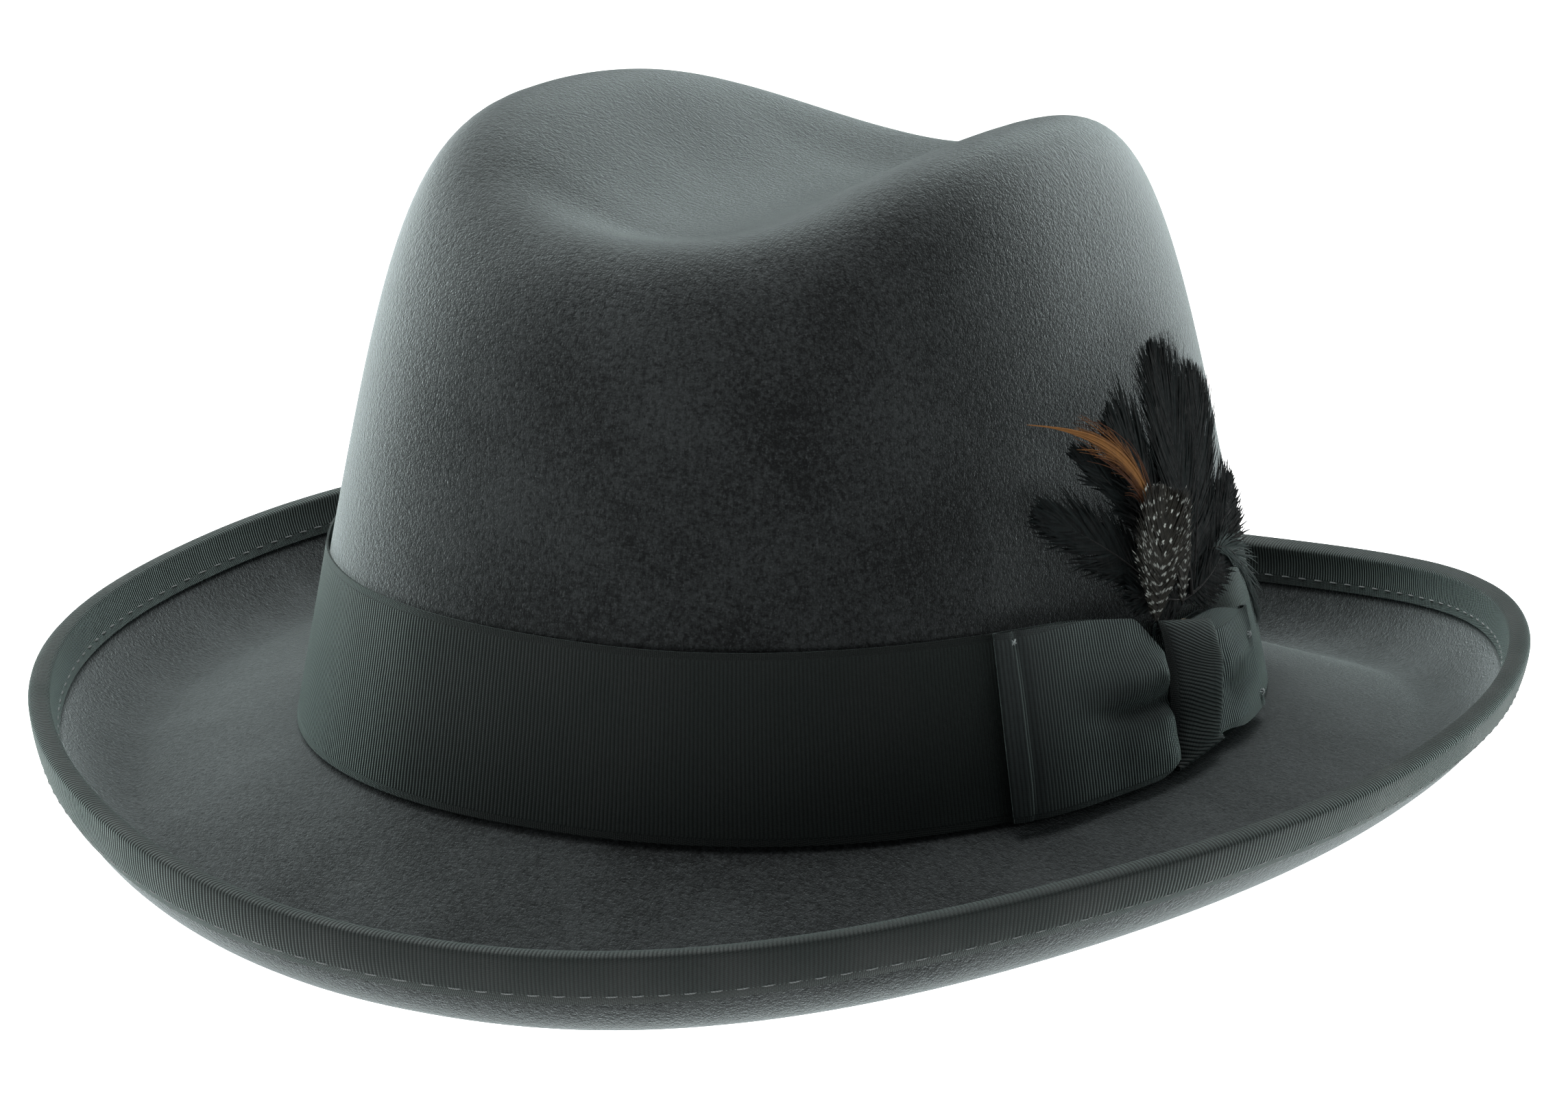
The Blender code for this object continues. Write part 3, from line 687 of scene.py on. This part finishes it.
def vane(name, node, slot, line, width, surface, quill, barbs, angle, ragged, tail=3.0,
         size=0.30, start=0.06, uv_mm=False, droop=0.25, tilt=0.0, spine_size=0.42):
    """A feather along a curve of three points, each (distance from the knot, height, distance out).

    width gives the half width along the quill, angle the barbs' lean from it and tail their reach
    past its tip. uv_mm gives UV in millimetres, in place of a shade for each barb."""
    base, bend, tip = line
    count, steps = 2 * barbs, 9
    share = np.linspace(0, 1, steps)
    along = np.sort(CHANCE.uniform(start, 0.995, count))
    side = np.where(np.arange(count) % 2 == 0, 1.0, -1.0)
    root = bezier(base, bend, tip, along)
    way = unit(bezier(base, bend, tip, along + 0.01) - root)
    square = np.stack([-way[:, 1], way[:, 0], 0 * along], -1) * side[:, None]
    lean = np.radians(angle * (1.25 - 0.85 * along) + CHANCE.normal(0, 4, count))
    length = width(along) / np.maximum(np.sin(lean), 0.35)
    whole = np.linalg.norm(np.subtract(tip, base))
    length = np.minimum(length, ((1 - along) * whole + tail) / np.cos(lean * 0.8))
    length = length * (1 + ragged * CHANCE.uniform(-1, 0.55, count))
    clump = np.sin(along * 57 + side) * 3.0 + np.sin(along * 23 + 2 * side) * 4.0
    lean = lean + np.radians(clump * ragged * 2)
    bow = np.radians(CHANCE.normal(14, 7, count))[:, None, None]
    turn = lean[:, None, None] - bow * share[None, :, None]
    pace = way[:, None] * np.cos(turn) + square[:, None] * np.sin(turn)
    stride = length[:, None, None] / steps
    barb = root[:, None] + np.cumsum(pace, 1) * stride - pace[:, :1] * stride
    layer = CHANCE.uniform(-0.25, 0.25, count)[:, None]
    barb[..., 2] += layer + CHANCE.normal(0, droop, count)[:, None] * share**2
    barb[..., 2] += tilt * (root[:, :1] - barb[..., 0])
    barb[..., 2] = np.maximum(barb[..., 2], FEATHER_GAP)
    solid = on_wall(barb[..., 0], barb[..., 1], barb[..., 2])
    ahead = on_wall(barb[..., 0], barb[..., 1], barb[..., 2] + 1.0)
    taper = size * (1 - share**3 * 0.85)[None]
    if uv_mm:
        reach = share[None] * length[:, None] * side[:, None]
        uv = np.stack(np.broadcast_arrays(reach, (along * whole)[:, None]), -1)
    else:
        shade = CHANCE.uniform(0, 1, count)
        uv = np.stack(np.broadcast_arrays(shade[:, None], share[None]), -1)
    made = tubes(name, solid, taper, surface, sides=4, body=SPRAY, flat=0.3, facing=ahead - solid, uv=uv)
    spine = bezier(base, bend, tip, np.linspace(0, 0.97, 24))
    spine = on_wall(spine[:, 0], spine[:, 1], spine[:, 2] + 0.12)
    tubes(name + "_quill", spine[None], np.linspace(spine_size, 0.08, 24)[None], quill, sides=7, body=SPRAY)
    if node:
        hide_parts(node)


def spindle(wide, swell, blunt):
    """A half width along a quill: swell moves its middle, blunt fills its tip."""
    def width(u):
        body = np.clip(np.sin(math.pi * np.clip(u, 0, 1) ** swell), 0, 1) ** 0.6  # an oval outline
        return wide * ((1 - blunt) * body + blunt * smooth(u * 3))
    return width


def feather_spray(black, pale, orange, guinea, quill, thread, dark_quill):
    feathers = (  # name, node, curve, spindle, barbs on each side, angle, raggedness, tail
        ("black_down", None,
         ((-2, 30.5, 3.2), (8, 32, 4.4), (19, 36.5, 4.4)), (5.5, 0.8, 0.5), 200, 50, 0.5, 3),
        ("black_down_rear", None,
         ((0, 30.5, 3.2), (-12, 31, 4.4), (-26, 37, 4.4)), (6.0, 0.8, 0.5), 200, 50, 0.5, 3),
        ("black_low", "feather_black_low",
         ((4, 31, 2.4), (22, 46, 3.8), (43.5, 55, 4.2)), (8.2, 0.5, 0.1), 330, 36, 0.34, 2.5),
        ("black_rear_low", "feather_black_rear_low",
         ((-6, 30, 2.2), (-18, 36, 4.2), (-33, 46, 5.0)), (11.0, 0.8, 0.6), 330, 46, 0.3, 3),
        ("black_small", "feather_black_small",
         ((2, 31, 3.2), (11, 52, 4.4), (31, 64, 4.8)), (5.0, 0.8, 0.1), 240, 34, 0.45, 3),
        ("black_rear", "feather_black_rear",
         ((-5, 30, 3.2), (-14, 48, 4.6), (-23, 67, 4.8)), (13.0, 0.9, 0.75), 430, 44, 0.24, 5),
        ("black_upper", "feather_black_upper",
         ((0, 31, 3.8), (7, 54, 5.0), (19, 67.5, 6.0)), (9.5, 1.0, 0.5), 330, 40, 0.36, 4),
        ("black_tall", "feather_black_tall",
         ((-3, 31, 4.2), (-5, 52, 5.6), (-2, 76, 6.4)), (13.5, 0.9, 0.8), 480, 40, 0.26, 4),
    )
    for name, node, line, shape, *barbs in feathers:
        vane(name, node, "black_feather", line, spindle(*shape), black, dark_quill, *barbs)
    spotted = {"size": 0.26, "uv_mm": True, "spine_size": 0.2}
    vane("guinea_under", None, "guinea_feather", ((4, 30.5, 5.4), (2, 40, 6.8), (-1, 48, 7.0)),
         spindle(4.0, 0.75, 0.3), guinea, dark_quill, 160, 50, 0.12, 2, start=0.03, droop=0.1, **spotted)
    vane("guinea", "feather_guinea", "guinea_feather", ((14.5, 30, 5.4), (14, 43, 8.8), (8.5, 52.5, 8.6)),
         spindle(9.6, 0.7, 0.6), guinea, dark_quill, 320, 54, 0.08, 1.6, start=0.0, droop=0.08, tilt=0.18,
         **spotted)
    vane("down_pale", None, "black_feather", ((-15, 37, 4.0), (-28, 37, 6.0), (-33, 21, 5.0)),
         spindle(5.0, 0.8, 0.5), pale, dark_quill, 150, 30, 0.5, 4, size=0.15, spine_size=0.15)
    plume(orange)
    stub(quill, thread)


def plume(surface):
    """Loose hackle barbs that sweep from behind the spotted feather to a thin point at the front."""
    count, core, steps = 130, 26, 16
    is_core = np.arange(count) < core
    reach = CHANCE.uniform(0.25, 0.78, count)
    reach[:core] = CHANCE.uniform(0.9, 1.0, core)
    offset = CHANCE.normal(0, 1.0, count)
    along = np.linspace(0, 1, steps)[None] * reach[:, None]
    line = bezier((13.2, 50, 7.6), (16, 66, 7.6), (45.8, 72, 6.6), along)
    step = unit(np.gradient(line, axis=1))
    square = np.stack([-step[..., 1], step[..., 0], 0 * along], -1)
    fan = np.where(is_core, 0.35, 1.0)[:, None] * offset[:, None]
    swell = 1.25 * np.sin(math.pi * np.clip(along * 0.9 + 0.10, 0, 1)) ** 0.8
    spread = fan * swell * (1 - 0.75 * smooth((along - 0.6) / 0.4))
    peel = np.where(np.arange(count)[:, None] % 3 == 0, 2.6, 0.5) * (along / reach[:, None]) ** 3
    peel = peel * np.sign(offset)[:, None] * ~is_core[:, None]
    line = line + square * (spread + peel)[..., None]
    line[..., 2] += CHANCE.normal(0, 0.22, count)[:, None]
    solid = on_wall(line[..., 0], line[..., 1], line[..., 2])
    facing = on_wall(line[..., 0], line[..., 1], line[..., 2] + 1) - solid
    shade = np.clip(1.0 - np.abs(fan) * 0.5 - 0.25 * (peel != 0), 0, 1)
    uv = np.stack([np.broadcast_to(shade, along.shape), along], -1)
    size = np.where(is_core, 0.24, 0.17)[:, None] * (1 - 0.8 * np.linspace(0, 1, steps)[None] ** 2)
    made = tubes("orange_plume", solid, size, surface, sides=4, body=SPRAY, flat=0.5, facing=facing, uv=uv)
    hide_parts("feather_plume_orange")


def stub(quill, thread):
    """The quills behind the knot, bound together with thread."""
    out, lines = 1.75, []
    up = np.linspace(9.5, 26.5, 14)
    for across in (-3.2, -2.0, -0.8, 0.4, 1.6, 2.8, 4.0):
        gathered = across * (0.55 + 0.45 * smooth((up - 14) / 18))
        lines.append(on_wall(gathered, up, out + 0.12 * np.sin(across * 3)))
    made = tubes("quill_bundle", lines, np.linspace(0.35, 0.5, 14)[None], quill, sides=8, body=SPRAY)
    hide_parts("feather_stub")
    turn = stations(20)
    rings = [on_wall(0.3 + 2.9 * np.cos(turn), up + 0.1 * np.sin(turn), out + 0.72 * np.sin(turn))
             for up in np.linspace(12.5, 17.5, 9)]
    tubes("quill_binding", rings, 0.2, thread, sides=5, body=SPRAY, closed=True)


# ---------------------------------------------------------------- inside

def inside(leather, ribbon, thread, satin, paper):
    t = stations(360)
    face = -SWEATBAND_SET_IN
    heights = np.concatenate([[0.9, 1.3], np.linspace(2.5, 36.0, 22), [36.7, 37.0]])
    wave = 0.10 * np.sin(6 * t + 1) + 0.08 * np.sin(11 * t)
    out = [face - 0.6 - (wave + 0.12) * smooth((h - 12) / 20) for h in heights]
    half_thick = [0.35, 0.5] + [0.55] * 22 + [0.45, 0.3]
    outer = np.array([wall(t, h, o + k) for h, o, k in zip(heights, out, half_thick)])
    inner = np.array([wall(t, h, o - k) for h, o, k in zip(heights, out, half_thick)])
    run = run_along(shut(outer[MIDDLE_ROW]))
    band = skin("sweatband_strip", outer, inner, leather, run[None], heights[:, None], wrap=True)
    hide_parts("sweatband")

    reed = tubes("reed_cord", wall(t, 2.2, -3.5)[None], 0.55, ribbon, sides=10, closed=True,
                 uv=np.stack([run[None, :-1], 0 * run[None, :-1]], -1))
    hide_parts("sweatband_reed")
    number, middle, reach, leather_face = 232, 4.5, 1.3, face - 1.25
    step = FULL_TURN / number
    turn = np.arange(number) * step
    up = np.where(np.arange(number) % 2 == 0, reach, -reach)
    starts, ends = wall(turn, middle - up, leather_face), wall(turn + step * 0.92, middle + up, leather_face)
    inward = unit(wall(turn, middle, -6.0) - wall(turn, middle, -5.0))
    zigzag = tubes("sweatband_zigzag", stitch_lines(starts, ends, inward, 0.28), 0.17, thread, sides=6)
    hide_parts("sweatband_stitching")
    back_bow(ribbon, face)
    tab(paper, thread, face)
    lining(satin)


def back_bow(ribbon, face):
    """The small flat bow that covers the sweatband's join."""
    back, middle = math.pi / 2, 12
    along, share = np.linspace(0, 1, 33), np.linspace(-1, 1, 11)[:, None]
    swell = np.sin(math.pi * along)
    depth = 0.25 + 0.75 * (0.5 - 0.5 * np.cos(math.pi * along)) + 0.45 * swell * (along > 0.5)
    across = share * (1.2 + 1.9 * swell ** 0.7)
    for name, sign in (("back_bow_left", 1), ("back_bow_right", -1)):
        reach = sign * (1.0 + 10.0 * swell ** 0.8)
        turn = back + np.broadcast_to(reach, across.shape) / WALL_RADIUS
        grid = wall(turn, middle + across + 0.5 * swell, face - 1.3 - depth)
        made = ribbon_piece(name, grid, INNER_RIBBON, ribbon, run_along(grid[5])[None], across)
    half, share, along = 1.9, np.linspace(-1, 1, 9)[None], np.linspace(-1, 1, 25)[:, None]
    out = face - 1.35 - 1.5 * np.clip(1 - np.abs(along) ** 4, 0, 1) - 0.2 * (1 - share**2)
    grid = wall(back + share * half / WALL_RADIUS, middle + 2.4 * along, out)
    made = ribbon_piece("back_bow_knot", grid, INNER_RIBBON, ribbon, 2.6 * along, share * half)
    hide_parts("sweatband_bow")


def tab(paper, thread, face):
    """The blank card, sewn flat to the sweatband at its corners."""
    middle, height = math.radians(62), 26
    share, along = np.linspace(-1, 1, 13)[None], np.linspace(-1, 1, 21)[:, None]
    curl = 0.35 * np.abs(along) ** 3 * (0.5 + 0.5 * share)
    grid = wall(middle + share * 5 / WALL_RADIUS, height + 6.3 * along, face - 1.62 - curl)
    normal = grid_normals(grid)
    made = skin("blank_tab", grid + normal * 0.13, grid - normal * 0.13, paper, 0.0, 0.0)
    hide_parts("size_tab")
    x, y = np.array([-3, 3, -3, 3]), height + np.array([-4.8, -4.8, 4.8, 4.8])
    ends = wall(middle + x / WALL_RADIUS, y, face - 1.85)
    starts = wall(middle + (x - 1.6 * np.sign(x)) / WALL_RADIUS, y, face - 1.85)
    inward = unit(wall(middle, height, -8.0) - wall(middle, height, -7.0))[None]
    stitches = stitch_lines(starts, ends, np.repeat(inward, 4, 0), 0.22)
    tubes("tab_stitches", stitches, 0.14, thread, sides=6)


def lining(satin):
    t = stations(540)
    rises = np.linspace(0.19, 0.958, 46)
    loose = smooth((rises - 0.36) / 0.12) * smooth((0.97 - rises) / 0.25)
    pleat = 0.5 * np.sin(27 * t + 2.0 * np.sin(3 * t)) + 0.3 * np.sin(61 * t + 1.3)
    thick, outer, inner = 0.3, [], []
    for rise, slack in zip(rises, loose):
        ring = crown(t, rise, LINING_SET_IN + thick, LINING_DROP + thick)
        inward = unit(np.stack([-ring[:, 0], -ring[:, 1], 0 * t], -1))
        outer.append(ring + inward * (slack * (0.9 + pleat))[:, None])
        inner.append(outer[-1] + inward * thick)
    outer, inner = np.array(outer), np.array(inner)
    run = run_along(shut(outer[10]))
    wall_height = 110
    side = skin("lining_wall", outer, inner, satin, run[None], (rises * wall_height)[:, None], wrap=True)
    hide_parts("lining_side")

    reaches = np.linspace(0.04, 0.80, 30)
    rises = (1 - reaches**SHOULDER_POWER) ** (1 / SHOULDER_POWER)
    sag = [LINING_DROP + 0.15 + 0.2 * np.sin(9 * t) * reach for reach in reaches]
    outer = np.array([crown(t, rise, LINING_SET_IN, drop) for rise, drop in zip(rises, sag)])
    tip = skin("lining_top", outer, outer - [0, 0, thick], satin, 0.0, 0.0, wrap=True, cap=True)
    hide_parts("lining_tip")
    seam = crown(t, 0.957, LINING_SET_IN + 0.6, LINING_DROP + 1.0)
    along = np.stack([run[None, :-1]] * 2, -1)
    tubes("lining_piping", seam[None], 0.65, satin, sides=8, closed=True, uv=along)


# ---------------------------------------------------------------- studio

def camera():
    """A long lens in front of the hat, above the brim and turned to the bow's side."""
    aim, distance, roll = Vector((0.0028, -0.0089, 0.0532)), 1.3754, math.radians(0.368)
    back = Vector((0.4361, -0.8577, 0.2723)).normalized()
    right = Vector((0.8914, 0.4532, 0.0)).normalized()
    up = back.cross(right)
    side = right * math.cos(roll) + up * math.sin(roll)
    top = -right * math.sin(roll) + up * math.cos(roll)
    data = bpy.data.cameras.new("camera")
    data.lens, data.sensor_width, data.sensor_fit = 163.4, 36.0, "HORIZONTAL"
    data.clip_start, data.clip_end = 0.05, 60
    made = bpy.data.objects.new("camera", data)
    turned = Matrix((side, top, back)).transposed().to_4x4()
    made.matrix_world = Matrix.Translation(aim + back * distance) @ turned
    bpy.context.scene.collection.objects.link(made)
    bpy.context.scene.camera = made


def light(name, place, side, power, colour):
    """A square area light, in metres and watts, that faces the hat."""
    data = bpy.data.lights.new(name, "AREA")
    data.shape, data.size, data.size_y = "RECTANGLE", side, side
    data.energy, data.color = power, colour
    made = bpy.data.objects.new(name, data)
    made.location = place
    made.rotation_euler = (Vector((0, 0, 0.07)) - place).to_track_quat("-Z", "Y").to_euler()
    bpy.context.scene.collection.objects.link(made)


def studio():
    """A pale glowing floor, brightest round the hat, and soft lights above and behind it."""
    bpy.ops.mesh.primitive_plane_add(size=24, location=(0, 0, -0.0002))
    floor = bpy.context.object
    floor.name = "studio_floor"
    m = Maker("floor_paper", 0.9, Emission_Color=(1, 1, 1, 1))
    reach = m.node("ShaderNodeVectorMath", 1, {0: m.place()}, operation="LENGTH")
    m.put(m.shader.inputs["Emission Strength"], m.span(reach, 0.18, 0.36, 2.0, 0.5))
    paper = m.mix(m.noise(m.place(), 3, 2), (0.54, 0.54, 0.54), (0.56, 0.56, 0.56))
    floor.data.materials.append(m.finish(paper))
    world = bpy.data.worlds.new("studio")
    bpy.context.scene.world = world
    world.use_nodes = True
    colour, strength = world.node_tree.nodes["Background"].inputs[:2]
    colour.default_value, strength.default_value = (0.93, 0.98, 1.0, 1), 0.17
    back, right, up = Vector((-0.4530, 0.8914, 0)), Vector((0.8914, 0.4532, 0)), Vector((0, 0, 1))
    white, cool = (1, 1, 1), (0.93, 1, 0.98)
    light("back_left", back * 1.2 - right * 1.1 + up * 1.7, 1.6, 68, cool)
    light("back_right", back * 1.6 + right * 1.0 + up * 1.3, 1.4, 6, cool)
    light("left", -right * 1.6 + back * 0.3 + up * 1.2, 1.2, 16, white)
    light("top", back * 0.8 + up * 1.9, 1.8, 56, white)
    light("overhead", back * -0.15 + up * 2.0, 1.2, 28, white)
    scene = bpy.context.scene
    scene.view_settings.view_transform = "Standard"
    scene.view_settings.look = "None"


def build():
    thread = thread_material("ribbon_thread")
    felt_body(felt_material())
    brim_binding(ribbon_material("binding_grosgrain", 9.6), thread)
    hatband(ribbon_material("band_grosgrain", 17.5))
    # The bow's wings are the band's ribbon given lighter colours: painted light for the light that the wings
    # catch.
    front_wing(ribbon_material("bow_grosgrain_painted_light", 17.6,
                               dark=(0.0085, 0.0112, 0.0112), light=(0.0235, 0.0306, 0.0306)))
    rear_wing(ribbon_material("bow_tail_grosgrain_painted_light", 10.5,
                              dark=(0.0105, 0.0138, 0.0141), light=(0.034, 0.044, 0.0454)))
    # The knot is the band's ribbon given slightly darker colours: painted shade for its shaded side.
    knot(ribbon_material("knot_grosgrain_painted_shade", 10.6, slant=0.36,
                         dark=(0.0024, 0.0035, 0.0035), light=(0.0084, 0.0118, 0.0119)))
    tacks(thread_material("tack_thread", (0.10, 0.12, 0.12)))
    feather_spray(
        black=barb_material("black_barbs", (0.0014, 0.0021, 0.0022), (0.0070, 0.0102, 0.0104)),
        pale=barb_material("pale_down", (0.022, 0.032, 0.031), (0.075, 0.095, 0.092)),
        orange=barb_material("orange_barbs", (0.036, 0.013, 0.006), (0.20, 0.092, 0.029), 0.6, 0.1,
                             (1, 0.8, 0.6, 1)),
        guinea=guinea_material(), quill=quill_material(), thread=thread,
        dark_quill=barb_material("dark_quill", (0.01, 0.01, 0.01), (0.03, 0.03, 0.03), 0.35))
    inside(leather_material(), ribbon_material("inner_ribbon", 2.6, pitch=0.6), thread,
           satin_material(), paper_material())


build()
camera()
studio()
